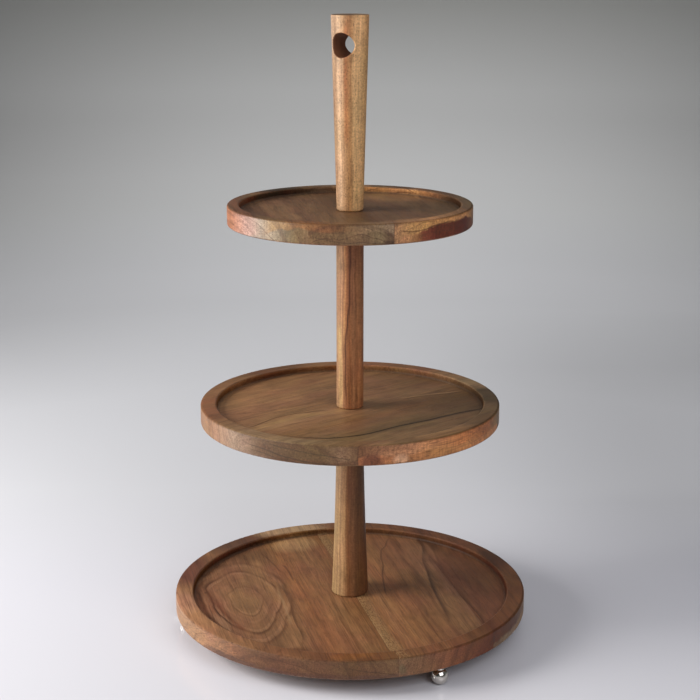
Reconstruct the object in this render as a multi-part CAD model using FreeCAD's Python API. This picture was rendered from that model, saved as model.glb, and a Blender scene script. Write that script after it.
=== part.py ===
import FreeCAD, Part
import math
import os
from FreeCAD import Vector

# A three-tier wooden stand: round dished trays, glued up from boards, threaded on a turned post.
# Millimetres. The post's axis is Z, and the feet stand on Z = 0.

# Trays
tray_thickness = 20.0
recess_depth = 7.0
tray_edge_round = 2.2
rim_round = 2.0
recess_cove = 3.0
bottom_tray_diameter = 360.0
middle_tray_diameter = 300.0
top_tray_diameter = 240.0
bottom_rim_width = 18.0
middle_rim_width = 16.0
top_rim_width = 12.0

# Boards: the way the grain runs, and how far each glue line lies from the post's axis
bottom_grain_angle = 104.0
middle_grain_angle = 39.0
top_grain_angle = 100.5
bottom_glue_lines = [-50.0, 2.0, 107.5]
middle_glue_lines = [-62.0, 10.0, 121.0]
top_glue_lines = [-58.0, 19.0, 84.0]

# Post: three turned lengths
lower_post_length = 187.0
middle_post_length = 187.0
handle_length = 187.0
post_neck_diameter = 27.0
lower_post_foot_diameter = 38.0
handle_neck_diameter = 26.0
handle_top_diameter = 36.6
lower_post_hollow = 0.9
post_end_round = 2.0
handle_top_round = 0.8

# Hole through the handle, to hang the stand or to put a finger through
hang_hole_diameter = 23.0
hang_hole_drop = 28.0
hang_hole_angle = 30.0
hang_hole_round = 1.0

# Threaded inserts in the post's ends, and the studs that join the lengths through the trays
thread_diameter = 8.0
thread_clearance = 0.1
insert_diameter = 14.0
insert_length = 18.0
insert_set_back = 0.5
insert_clearance = 0.05
insert_hole_spare = 1.5
insert_key_flats = 10.0
insert_key_depth = 4.0
insert_edge = 0.8
stud_engagement = 14.0
stud_edge = 0.8
stud_hole_clearance = 0.5

# Screw and washer under the bottom tray
washer_diameter = 22.0
washer_thickness = 1.6
washer_clearance = 0.25
screw_head_diameter = 16.0
screw_head_height = 4.4
screw_head_round = 1.8
screw_key_flats = 5.0
screw_key_depth = 2.6
screw_engagement = 12.0
counterbore_clearance = 1.0
counterbore_sink = 0.5

# Ball feet
ball_diameter = 17.0
foot_flat_diameter = 4.0
foot_height = 18.5
foot_neck_diameter = 9.0
foot_inset = 9.0
first_foot_angle = -60.0
foot_names = ["front_right", "back_right", "left"]
foot_screw_diameter = 5.0
foot_screw_in_wood = 14.0
foot_screw_in_ball = 8.0
foot_screw_point = 3.0
foot_screw_clearance = 0.05
foot_screw_hole_spare = 0.6

# How far each cutting shape runs past the face that it opens
cut_overrun = 1.0

origin = Vector(0, 0, 0)
up = Vector(0, 0, 1)
floor_thickness = tray_thickness - recess_depth
bottom_tray_z = foot_height
lower_post_z = bottom_tray_z + floor_thickness
middle_tray_z = lower_post_z + lower_post_length
middle_post_z = middle_tray_z + floor_thickness
top_tray_z = middle_post_z + middle_post_length
handle_z = top_tray_z + floor_thickness
stud_hole_diameter = thread_diameter + 2 * stud_hole_clearance
insert_bore_diameter = thread_diameter + 2 * thread_clearance
insert_hole_diameter = insert_diameter + 2 * insert_clearance
insert_hole_depth = insert_set_back + insert_length + insert_hole_spare
washer_hole_diameter = thread_diameter + 2 * washer_clearance
counterbore_diameter = washer_diameter + 2 * counterbore_clearance
counterbore_depth = washer_thickness + screw_head_height + counterbore_sink
foot_screw_hole_diameter = foot_screw_diameter + 2 * foot_screw_clearance
foot_circle_radius = bottom_tray_diameter / 2 - foot_inset


def at(radius, height):
    # A point of a turned profile, in the XZ plane.
    return Vector(radius, 0, height)


def limited(radius, wall):
    # A rounding that leaves a flat on its wall.
    return min(radius, 0.45 * wall)


def rounded_outline(corners):
    # A closed profile through (radius, height, rounding), with a tangent arc at each rounded corner.
    edges = []
    last_end = None
    first_start = None
    count = len(corners)
    for index, (radius, height, rounding) in enumerate(corners):
        corner = at(radius, height)
        if rounding > 0:
            before = at(*corners[index - 1][:2])
            after = at(*corners[(index + 1) % count][:2])
            to_before = (before - corner).normalize()
            to_after = (after - corner).normalize()
            half_angle = to_before.getAngle(to_after) / 2
            inward = (to_before + to_after).normalize()
            start = corner + to_before * (rounding / math.tan(half_angle))
            end = corner + to_after * (rounding / math.tan(half_angle))
            middle = corner + inward * (rounding / math.sin(half_angle) - rounding)
        else:
            start = corner
            end = corner
        if last_end is not None:
            edges.append(Part.LineSegment(last_end, start).toShape())
        if rounding > 0:
            edges.append(Part.Arc(start, middle, end).toShape())
        if first_start is None:
            first_start = start
        last_end = end
    edges.append(Part.LineSegment(last_end, first_start).toShape())
    return Part.Wire(edges)


def turned(wire):
    # The solid that a closed profile sweeps round the Z axis.
    return Part.Face(wire).revolve(origin, up, 360)


def rod(diameter, low, high):
    return Part.makeCylinder(diameter / 2, high - low, at(0, low), up)


def chamfered_rod(diameter, low, high, chamfer):
    radius = diameter / 2
    return turned(rounded_outline([
        (0, low, 0),
        (radius - chamfer, low, 0),
        (radius, low + chamfer, 0),
        (radius, high - chamfer, 0),
        (radius - chamfer, high, 0),
        (0, high, 0),
    ]))


def hexagon_prism(across_flats, low, height):
    # The space that a hexagonal key fills.
    reach = across_flats / math.sqrt(3)
    points = []
    for step in range(7):
        turn = math.radians(60 * step)
        points.append(Vector(reach * math.cos(turn), reach * math.sin(turn), low))
    return Part.Face(Part.makePolygon(points)).extrude(up * height)


def make_tray(diameter, rim_width):
    # A disc with a flat recess, its outer edges rounded and its recess coved, drilled for the stud.
    radius = diameter / 2
    recess_radius = radius - rim_width
    edge = limited(tray_edge_round, tray_thickness)
    lip = limited(rim_round, min(recess_depth, rim_width))
    cove = limited(recess_cove, recess_depth)
    disc = turned(rounded_outline([
        (0, 0, 0),
        (radius, 0, edge),
        (radius, tray_thickness, edge),
        (recess_radius, tray_thickness, lip),
        (recess_radius, floor_thickness, cove),
        (0, floor_thickness, 0),
    ]))
    return disc.cut(rod(stud_hole_diameter, -cut_overrun, tray_thickness))


def foot_places():
    # Where each ball foot's axis meets the floor: evenly spaced round the tray.
    for number, name in enumerate(foot_names):
        turn = math.radians(first_foot_angle + number * 360 / len(foot_names))
        yield name, Vector(math.cos(turn), math.sin(turn), 0) * foot_circle_radius


def drill_for_feet_and_screw(tray):
    # The counterbore under the centre, and a pilot hole for each foot under the rim.
    tray = tray.cut(rod(counterbore_diameter, -cut_overrun, counterbore_depth))
    depth = foot_screw_in_wood + foot_screw_hole_spare
    for name, place in foot_places():
        pilot = rod(foot_screw_hole_diameter, -cut_overrun, depth)
        pilot.translate(place)
        tray = tray.cut(pilot)
    return tray


def save(node, shape):
    shape.exportStep("parts/" + node + ".step")
    print(node, len(shape.Solids), "solid(s),", round(shape.Volume / 1000, 2), "cm3,",
          "valid" if shape.isValid() else "INVALID")


def save_boards(tray_name, tray, diameter, glue_lines, grain_angle, height):
    # The boards that the tray is glued up from: slices of it between one glue line and the next.
    radius = diameter / 2
    inner_lines = [line for line in glue_lines if abs(line) < radius]
    borders = [-radius] + inner_lines + [radius]
    for number, (low, high) in enumerate(zip(borders, borders[1:]), start=1):
        slab = Part.makeBox(high - low, diameter, tray_thickness, Vector(low, -radius, 0))
        slab.rotate(origin, up, grain_angle - 90)
        board = tray.common(slab)
        board.translate(up * height)
        save(tray_name + "_board_" + str(number), board)


def post_blank(low_diameter, high_diameter, length, hollow=0):
    # A turned length, straight-sided, or with a side that is hollowed to an arc.
    low_side = at(low_diameter / 2, 0)
    high_side = at(high_diameter / 2, length)
    flank = Part.LineSegment(low_side, high_side)
    if hollow > 0:
        flank = Part.Arc(low_side, (low_side + high_side) * 0.5 - at(hollow, 0), high_side)
    return turned(Part.Wire([
        Part.LineSegment(at(0, 0), low_side).toShape(),
        flank.toShape(),
        Part.LineSegment(high_side, at(0, length)).toShape(),
        Part.LineSegment(at(0, length), at(0, 0)).toShape(),
    ]))


def end_edges(shape, height):
    # The round edges of a turned length at one of its ends.
    found = []
    for edge in shape.Edges:
        box = edge.BoundBox
        level = max(abs(box.ZMin - height), abs(box.ZMax - height)) < 0.01
        if level and isinstance(edge.Curve, Part.Circle):
            found.append(edge)
    return found


def insert_hole(end, inward):
    # The blind hole for an insert, from the end at this height, up (1) or down (-1).
    far = end + inward * insert_hole_depth
    return rod(insert_hole_diameter, min(end, far), max(end, far))


def make_lower_post():
    # This length spreads downwards to a broad foot.
    post = post_blank(lower_post_foot_diameter, post_neck_diameter, lower_post_length, lower_post_hollow)
    for height in (0, lower_post_length):
        post = post.makeFillet(post_end_round, end_edges(post, height))
    post = post.cut(insert_hole(0, 1))
    return post.cut(insert_hole(lower_post_length, -1))


def make_middle_post():
    post = post_blank(post_neck_diameter, post_neck_diameter, middle_post_length)
    for height in (0, middle_post_length):
        post = post.makeFillet(post_end_round, end_edges(post, height))
    post = post.cut(insert_hole(0, 1))
    return post.cut(insert_hole(middle_post_length, -1))


def make_handle():
    # The top length flares upwards, with the hang hole across it near its flat top.
    post = post_blank(handle_neck_diameter, handle_top_diameter, handle_length)
    post = post.makeFillet(post_end_round, end_edges(post, 0))
    post = post.makeFillet(handle_top_round, end_edges(post, handle_length))
    turn = math.radians(hang_hole_angle)
    across = Vector(math.sin(turn), math.cos(turn), 0)
    centre = handle_length - hang_hole_drop
    start = at(0, centre) - across * handle_top_diameter
    hole = Part.makeCylinder(hang_hole_diameter / 2, 2 * handle_top_diameter, start, across)
    post = post.cut(hole)
    post = post.makeFillet(hang_hole_round, mouth_edges(post, centre))
    return post.cut(insert_hole(0, 1))


def mouth_edges(post, centre):
    # The curved edges where the hang hole comes out through the handle's side.
    found = []
    for edge in post.Edges:
        box = edge.BoundBox
        reach = max(centre - box.ZMin, box.ZMax - centre)
        if reach < hang_hole_diameter / 2 + 0.1 and not isinstance(edge.Curve, Part.Line):
            found.append(edge)
    return found


def make_insert(mouth, inward):
    # A brass sleeve with a hexagon socket in its mouth, which faces the end of its post.
    radius = insert_diameter / 2
    sleeve = chamfered_rod(insert_diameter, 0, insert_length, limited(insert_edge, radius))
    sleeve = sleeve.cut(rod(insert_bore_diameter, -cut_overrun, insert_length + cut_overrun))
    sleeve = sleeve.cut(hexagon_prism(insert_key_flats, 0, insert_key_depth))
    if inward < 0:
        sleeve.rotate(origin, Vector(1, 0, 0), 180)
    sleeve.translate(up * (mouth + inward * insert_set_back))
    return sleeve


def make_stud(tray_z):
    low = tray_z - stud_engagement
    high = tray_z + floor_thickness + stud_engagement
    return chamfered_rod(thread_diameter, low, high, stud_edge)


def make_base_screw():
    # A button head in the counterbore, and a shank up into the lower post's insert.
    head_low = bottom_tray_z + counterbore_sink
    head_high = head_low + screw_head_height
    tip = lower_post_z + insert_set_back + screw_engagement
    head_radius = screw_head_diameter / 2
    shank_radius = thread_diameter / 2
    screw = turned(rounded_outline([
        (0, head_low, 0),
        (head_radius, head_low, limited(screw_head_round, screw_head_height)),
        (head_radius, head_high, 0),
        (shank_radius, head_high, 0),
        (shank_radius, tip - stud_edge, 0),
        (shank_radius - stud_edge, tip, 0),
        (0, tip, 0),
    ]))
    return screw.cut(hexagon_prism(screw_key_flats, head_low, screw_key_depth))


def make_base_washer():
    high = bottom_tray_z + counterbore_depth
    low = high - washer_thickness
    hole = rod(washer_hole_diameter, low - cut_overrun, high + cut_overrun)
    return rod(washer_diameter, low, high).cut(hole)


def make_ball_foot():
    # A ball with a small flat to stand on and a neck up to the tray, tapped for its screw.
    radius = ball_diameter / 2
    flat = foot_flat_diameter / 2
    neck = foot_neck_diameter / 2
    centre = math.sqrt(radius ** 2 - flat ** 2)
    neck_low = centre + math.sqrt(radius ** 2 - neck ** 2)
    ball_side = Part.Arc(at(flat, 0), at(radius, centre), at(neck, neck_low))
    foot = turned(Part.Wire([
        Part.LineSegment(at(0, 0), at(flat, 0)).toShape(),
        ball_side.toShape(),
        Part.LineSegment(at(neck, neck_low), at(neck, foot_height)).toShape(),
        Part.LineSegment(at(neck, foot_height), at(0, foot_height)).toShape(),
        Part.LineSegment(at(0, foot_height), at(0, 0)).toShape(),
    ]))
    depth = foot_screw_in_ball + foot_screw_hole_spare
    return foot.cut(rod(foot_screw_hole_diameter, foot_height - depth, foot_height + cut_overrun))


def make_foot_screw():
    # A headless screw, one end in the ball and the pointed end in the wood.
    radius = foot_screw_diameter / 2
    low = foot_height - foot_screw_in_ball
    high = foot_height + foot_screw_in_wood
    return turned(rounded_outline([
        (0, low, 0),
        (radius, low, 0),
        (radius, high - foot_screw_point, 0),
        (0.25 * radius, high, 0),
        (0, high, 0),
    ]))


os.makedirs("parts", exist_ok=True)

bottom_tray = drill_for_feet_and_screw(make_tray(bottom_tray_diameter, bottom_rim_width))
middle_tray = make_tray(middle_tray_diameter, middle_rim_width)
top_tray = make_tray(top_tray_diameter, top_rim_width)
save_boards("bottom_tray", bottom_tray, bottom_tray_diameter, bottom_glue_lines,
            bottom_grain_angle, bottom_tray_z)
save_boards("middle_tray", middle_tray, middle_tray_diameter, middle_glue_lines,
            middle_grain_angle, middle_tray_z)
save_boards("top_tray", top_tray, top_tray_diameter, top_glue_lines,
            top_grain_angle, top_tray_z)

for node, post, height in (
    ("lower_post", make_lower_post(), lower_post_z),
    ("middle_post", make_middle_post(), middle_post_z),
    ("handle_post", make_handle(), handle_z),
):
    post.translate(up * height)
    save(node, post)

save("threaded_inserts", Part.makeCompound([
    make_insert(lower_post_z, 1),
    make_insert(middle_tray_z, -1),
    make_insert(middle_post_z, 1),
    make_insert(top_tray_z, -1),
    make_insert(handle_z, 1),
]))
save("joining_studs", Part.makeCompound([make_stud(middle_tray_z), make_stud(top_tray_z)]))
save("base_screw", make_base_screw())
save("base_washer", make_base_washer())

foot_screws = []
for name, place in foot_places():
    foot = make_ball_foot()
    foot.translate(place)
    save("ball_foot_" + name, foot)
    screw = make_foot_screw()
    screw.translate(place)
    foot_screws.append(screw)
save("foot_screws", Part.makeCompound(foot_screws))
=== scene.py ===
import math
from types import SimpleNamespace

import bpy
import numpy as np
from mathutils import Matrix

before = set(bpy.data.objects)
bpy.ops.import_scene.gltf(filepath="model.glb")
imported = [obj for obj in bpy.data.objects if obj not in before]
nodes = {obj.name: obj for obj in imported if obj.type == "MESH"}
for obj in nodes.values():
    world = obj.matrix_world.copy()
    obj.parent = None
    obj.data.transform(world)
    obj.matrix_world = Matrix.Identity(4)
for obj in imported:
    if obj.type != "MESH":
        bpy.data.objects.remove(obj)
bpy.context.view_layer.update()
print("frame loaded:", len(nodes), "CAD nodes")


def linear(hexCode):  # sRGB hex to the linear colour that a shader wants
    channels = [int(hexCode[i:i + 2], 16) / 255 for i in (1, 3, 5)]
    straight = [c / 12.92 if c <= 0.04045 else ((c + 0.055) / 1.055) ** 2.4 for c in channels]
    return (*straight, 1)


def addNode(tree, kind, inputs=(), operation=None, **settings):
    # One shader node, named without its "ShaderNode". Inputs are values or links, in the order of its
    # live sockets or by name. Settings are its properties, a colour ramp's stops (place, colour) or a
    # float curve's points.
    node = tree.nodes.new("ShaderNode" + kind)
    if operation:
        node.operation = operation
    for key, value in settings.items():
        if key == "stops":
            ramp = node.color_ramp.elements
            while len(ramp) < len(value):
                ramp.new(1)
            for element, (spot, colour) in zip(ramp, value):
                element.position = spot
                element.color = linear(colour) if isinstance(colour, str) else (colour, colour, colour, 1)
        elif key == "points":
            curve = node.mapping.curves[0].points
            while len(curve) < len(value):
                curve.new(0.5, 0.5)
            for point, spot in zip(curve, value):
                point.location = spot
            node.mapping.update()
        elif key == "easing":
            node.color_ramp.interpolation = value
        else:
            setattr(node, key, value)
    if isinstance(inputs, dict):
        pairs = [(node.inputs[key], value) for key, value in inputs.items()]
    else:
        pairs = list(zip([socket for socket in node.inputs if socket.enabled], inputs))
    for socket, value in pairs:
        if isinstance(value, bpy.types.Node):
            value = next(output for output in value.outputs if output.enabled)
        if isinstance(value, bpy.types.NodeSocket):
            tree.links.new(value, socket)
        else:
            socket.default_value = value
    return node


def toneAlong(tree, place, tones):
    # A colour, or a number, that follows a length through (length, tone) pairs.
    low, high = tones[0][0], tones[-1][0]
    spot = addNode(tree, "MapRange", [place, low, high, 0, 1])
    stops = [((at - low) / (high - low), tone) for at, tone in tones]
    return addNode(tree, "ValToRGB", [spot], stops=stops)


def newMaterial(name):
    material = bpy.data.materials.new(name)
    material.use_nodes = True
    material.node_tree.nodes.clear()
    return material, material.node_tree


def dress(node, material):  # the CAD node keeps its shape and takes this finish
    mesh = nodes[node].data
    mesh.materials.clear()
    mesh.materials.append(material)


# Camera, and the floor that sweeps up into a round backdrop

camera = {"distance": 1.519, "height": 0.6875, "tiltDown": 14.66, "lens": 80.8, "sensor": 36}

cameraData = bpy.data.cameras.new("camera")
cameraData.lens = camera["lens"]
cameraData.sensor_width = camera["sensor"]
cameraObject = bpy.data.objects.new("camera", cameraData)
cameraObject.location = (0, -camera["distance"], camera["height"])
cameraObject.rotation_euler = (math.radians(90 - camera["tiltDown"]), 0, 0)
bpy.context.scene.collection.objects.link(cameraObject)
bpy.context.scene.camera = cameraObject

dish = {
    "flat": 1.5,       # metres from the centre to where the floor starts to rise
    "sweep": 1.7,      # radius of the rise
    "wall": 1.2,       # height of the upright part above it
    "rings": 72,
    "sectors": 128,
}


def makeDish():
    # Formula: radius and height are functions of the way s along the profile, which is flat up to
    # "flat", then a quarter circle of radius "sweep", then upright, all turned round Z.
    flat, sweep = dish["flat"], dish["sweep"]
    total = flat + sweep * math.pi / 2 + dish["wall"]
    s = np.linspace(0, 1, dish["rings"] + 1)[1:] ** 1.2 * total
    turn = np.clip((s - flat) / sweep, 0, math.pi / 2)
    radius = np.minimum(s, flat) + sweep * np.sin(turn)
    height = sweep * (1 - np.cos(turn)) + np.maximum(s - flat - sweep * math.pi / 2, 0)
    angle = np.arange(dish["sectors"]) * 2 * math.pi / dish["sectors"]
    ring = np.stack([np.outer(radius, np.cos(angle)), np.outer(radius, np.sin(angle)),
                     np.repeat(height[:, None], len(angle), 1)], -1).reshape(-1, 3)
    points = np.vstack([[0, 0, 0], ring])
    i = np.arange(dish["sectors"])
    j = (i + 1) % dish["sectors"]
    fan = np.stack([np.zeros_like(i), 1 + i, 1 + j], -1)
    low = (1 + np.arange(dish["rings"] - 1) * dish["sectors"])[:, None]
    high = low + dish["sectors"]
    quads = np.stack([low + i, high + i, high + j, low + j], -1).reshape(-1, 4)
    mesh = bpy.data.meshes.new("backdrop")
    mesh.from_pydata(points.tolist(), [], fan.tolist() + quads.tolist())
    mesh.shade_smooth()
    backdrop = bpy.data.objects.new("backdrop", mesh)
    bpy.context.scene.collection.objects.link(backdrop)
    return backdrop


laminate = {  # places and heights in metres
    "floor": [(-0.2, "#e1e0e5"), (0.1, "#e9e8ee"), (0.4, "#f2f2f6"), (1.4, "#f3f3f6")],  # along Y
    "wall": [(0.0, "#f4f5f4"), (0.15, "#f0f0ef"), (0.32, "#dfdfdd"), (0.52, "#b5b5b1"),
             (0.8, "#8c8c88")],  # up the curve, darker higher up: painted shade
    "bend": 0.1,            # the height over which the floor's tones give way to the wall's
    "glow": 0.644,          # painted shade: how much darker the far part is between its four bright quarters
    "quarters": (4, 0.06),  # their number, and how far their wave is turned, in radians
    "far": (0.9, 2.4),      # the far part begins and is all there at these distances
    "paintedShade": 0.29,           # painted shade: how much darker the floor is towards +X, reached over this width,
    "paintedShadeWidth": 0.44,
    "paintedShadeAlong": [(-0.12, 0.0), (0.12, 0.35), (0.35, 1.0), (1.0, 0.8), (1.4, 0.2)],  # and its share along Y
    "lift": [(0.5, 0.0), (1.1, 0.09), (1.4, 0.12), (1.7, 0.14), (2.05, 0.1), (2.4, 0.05)],
                            # a glow of the far part, by distance, that only the camera sees,
    "slope": (-0.5, 0.7, 0.82, 1.12),  # and between which X, and by what, it is weaker and stronger
    "roughness": 0.16,
    "ior": 1.45,
}


def makeLaminate():
    # Pale laminate, smooth enough to mirror the ball feet faintly where it is seen at a low angle. It
    # darkens with its height and away from four soft glows a quarter turn apart: painted light and shade.
    material, tree = newMaterial("pale laminate")
    place = addNode(tree, "TexCoord").outputs["Object"]
    parts = addNode(tree, "SeparateXYZ", [place])
    x, y, z = parts.outputs
    up = addNode(tree, "MapRange", [z, 0, laminate["bend"], 0, 1])
    floor, wall = toneAlong(tree, y, laminate["floor"]), toneAlong(tree, z, laminate["wall"])
    colour = addNode(tree, "Mix", [up, floor, wall], data_type="RGBA")
    turn = addNode(tree, "Math", [y, x], "ARCTAN2")
    turn = addNode(tree, "Math", [turn, *laminate["quarters"]], "MULTIPLY_ADD")
    wave = addNode(tree, "Math", [turn], "COSINE")
    shade = addNode(tree, "MapRange", [wave, -0.4, 1, laminate["glow"], 0])
    level = addNode(tree, "CombineXYZ", [x, y])
    level = addNode(tree, "VectorMath", [level], "LENGTH")
    far = addNode(tree, "MapRange", [level, *laminate["far"], 0, 1])
    shade = addNode(tree, "Math", [shade, far], "MULTIPLY")
    # painted shade: the floor darkens towards +X, the side where the key lamp throws the stand's shadow
    aside = addNode(tree, "MapRange", [x, 0, laminate["paintedShadeWidth"], 0, laminate["paintedShade"]],
                    interpolation_type="SMOOTHSTEP")
    aside = addNode(tree, "Math", [aside, toneAlong(tree, y, laminate["paintedShadeAlong"])], "MULTIPLY")
    low = addNode(tree, "Math", [1, up], "SUBTRACT")
    shade = addNode(tree, "Math", [aside, low, shade], "MULTIPLY_ADD")
    colour = addNode(tree, "Mix", [shade, colour, (0, 0, 0, 1)], data_type="RGBA")
    shader = addNode(tree, "BsdfPrincipled", {
        "Base Color": colour, "Roughness": laminate["roughness"], "IOR": laminate["ior"]})
    seen = addNode(tree, "LightPath").outputs["Is Camera Ray"]
    lift = toneAlong(tree, level, laminate["lift"])
    lift = addNode(tree, "Math", [lift, seen], "MULTIPLY")
    slope = addNode(tree, "MapRange", [x, *laminate["slope"]])
    lift = addNode(tree, "Math", [lift, slope], "MULTIPLY")
    glow = addNode(tree, "Emission", [colour, lift])
    shader = addNode(tree, "AddShader", [shader, glow])
    addNode(tree, "OutputMaterial", [shader])
    return material


backdrop = makeDish()
backdrop.data.materials.append(makeLaminate())

aim = 0.28  # the height that the lamps point at, in metres
lamps = {  # azimuth and height in degrees round the object, distance and size in metres, power in watts
    "key softbox": {"azimuth": 192, "height": 20, "distance": 1.7, "size": (1, 1), "power": 41,
                    "colour": "#fffdfb"},
    "fill panel": {"azimuth": 295, "height": 30, "distance": 2.0, "size": (1.6, 1.2), "power": 18,
                   "colour": "#f8f9ff"},
}
room = {"colour": "#f4f6fa", "strength": 0.43}  # light from all round


def makeLamps():
    for name, lamp in lamps.items():
        data = bpy.data.lights.new(name, "AREA")
        data.shape = "RECTANGLE"
        data.size, data.size_y = lamp["size"]
        data.energy = lamp["power"]
        data.color = linear(lamp["colour"])[:3]
        lampObject = bpy.data.objects.new(name, data)
        turn, rise = math.radians(lamp["azimuth"]), math.radians(lamp["height"])
        level = lamp["distance"] * math.cos(rise)
        lampObject.location = (level * math.cos(turn), level * math.sin(turn),
                               aim + lamp["distance"] * math.sin(rise))
        lampObject.rotation_euler = (math.pi / 2 - rise, 0, turn + math.pi / 2)
        lampObject.visible_camera = False
        bpy.context.scene.collection.objects.link(lampObject)
    world = bpy.data.worlds.new("studio")
    world.use_nodes = True
    background = world.node_tree.nodes["Background"]
    background.inputs["Color"].default_value = linear(room["colour"])
    background.inputs["Strength"].default_value = room["strength"]
    bpy.context.scene.world = world


makeLamps()
bpy.context.scene.view_settings.view_transform = "Standard"
print("stage, lamps and camera set")


# Acacia: a diffuse-porous hardwood with tan sapwood, red-brown heartwood, dark growth lines, short
# open pores and interlocked grain, sanded and oiled. The eye sees stripes and arches along the grain,
# dashes for pores on the face and dots on the end grain, and a satin shine.

acacia = {  # what every piece has unless its own dictionary says otherwise; lengths in mm. A piece also
            # has "tones", by place across the grain, and a tray's boards are listed from left to right.
    "turn": (0, 0, 0),          # turns the piece so that its grain runs along Y
    "shift": (0, 0, 0),         # then moves it, so that the pattern's zero is where the piece wants it
    "radii": None,              # a tray's outer radius and its recess's
    "rim": None,                # tones of a tray's rim, where they differ from the floor of its recess
    "wall": None,               # tones of the recess's wall: its wood, with painted light and shade
    "side": None,               # tones of the upright faces, by place across the grain,
    "sideAlong": None,          # or by place along it
    "under": None,              # another layer low on the side: its top edge, its tones
    "fade": [(-200, 1.0), (200, 1.0)],  # painted light and shade: brightness of the floor along the grain
    "patches": [],              # spots: where they show, place and half size (across, along; on a side
                                # across, up; on an edge along, up), tone, strength
    "dark": "#4a2e1e",          # the growth bands
    "line": "#4a2a19",          # the thin lines between growths
    "pale": "#ad8362",          # the band beside an eye's line
    "pore": "#3b2617",
    "wander": (4, 60, 170),     # how far the stripes stray, and over what length across and along
    "ripple": (0.8, 11, 42),
    "pith": 0,                  # the tree's centre: its place across the grain
    "depth": 55,                # and its depth below the surface
    "ringWidth": 7,
    "bands": 0.3,
    "lines": 0.55,
    "stray": 3,
    "eye": None,                # closed rings round a spot where the growth bulged
    "drawn": [],                # streaks: where they show, or "all", path (along, across; on a side
                                # across, up), widths left and right, tone, strength
    "knots": [],                # pin knots: place (across, along, deep) and width
    "mottle": 0.16,
    "hue": 0.008,               # red-brown to olive
    "fibre": 0.26,
    "hairs": 0.5,               # dark hairlines along the grain
    "poreWidth": 1.3,
    "poreLength": 9,
    "pores": 0.28,
    "flecks": None,             # a strip of open pores: from, to, light tone
    "speck": 0.1,               # fine unevenness of the upright faces
    "ends": 1.0,                # brightness of a post's end grain
    "bore": None,               # the hang hole: its height, radius and turn
    # the bore's wall: darker end grain, with painted shade inside the hole
    "boreEndGrainAndShadeTone": "#6e4228",
    "seams": [],                # places of the glue lines across the grain
    "oil": "#fffcf8",           # the warm tint of the oil; how much painted shade darkens the recess's cove, and how much darker the rounded outer edge is
    "cove": 0.55,               # how much it darkens the recess's cove
    "edge": 0.28,               # and the rounded outer edge
    "glue": (0.25, 0.6, 0.4),   # a glue line: dark to here, gone there, and how dark; wider than the
                                # real 0.1 mm so that it shows
    "gain": 1.05,               # makes up for what bands and pores take
    "roughness": 0.46,
    "ior": 1.4,
}
spread = (0.3, 0.7)  # where nearly all the values of a noise lie


def curveAlong(tree, place, path):
    # A length that follows another smoothly through (length, length) pairs, both in mm.
    first, last = path[0][0], path[-1][0]
    least, most = min(value for at, value in path) - 1, max(value for at, value in path) + 1
    spot = addNode(tree, "MapRange", [place, first, last, 0, 1])
    curve = addNode(tree, "FloatCurve", {"Value": spot}, points=[
        ((at - first) / (last - first), (value - least) / (most - least)) for at, value in path])
    return addNode(tree, "MapRange", [curve, 0, 1, least, most])


def ridges(tree, place, lines):
    # Lines at given lengths: each (length, width, strength) has a sharp near edge and fades beyond it.
    start, end = lines[0][0] - 1.5 * lines[0][1], lines[-1][0] + 3 * lines[-1][1]
    stops = [(0, 0)]
    for at, wide, strength in lines:
        stops += [((at - 0.5 * wide - start) / (end - start), 0), ((at - start) / (end - start), strength),
                  ((at + 1.5 * wide - start) / (end - start), 0)]
    spot = addNode(tree, "MapRange", [place, start, end, 0, 1])
    return addNode(tree, "ValToRGB", [spot], stops=stops)


def blots(tree, grain, size, detail, turn=0, **more):
    # Cloudy noise whose blots have this size in mm across the grain, along it and deep into it.
    space = addNode(tree, "Mapping", {"Vector": grain, "Rotation": (0, 0, turn),
                                      "Scale": [1 / length for length in size]})
    return addNode(tree, "TexNoise", {"Vector": space, "Scale": 1, "Detail": detail, **more})


def layOver(tree, colour, tone, mark, mask=None):
    # Another tone over the colour, as strong as the mark is, and only where a mask lets it show.
    if mask:
        mark = addNode(tree, "Math", [mark, mask], "MULTIPLY")
    return addNode(tree, "Mix", [mark, colour, linear(tone)], data_type="RGBA")


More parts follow.
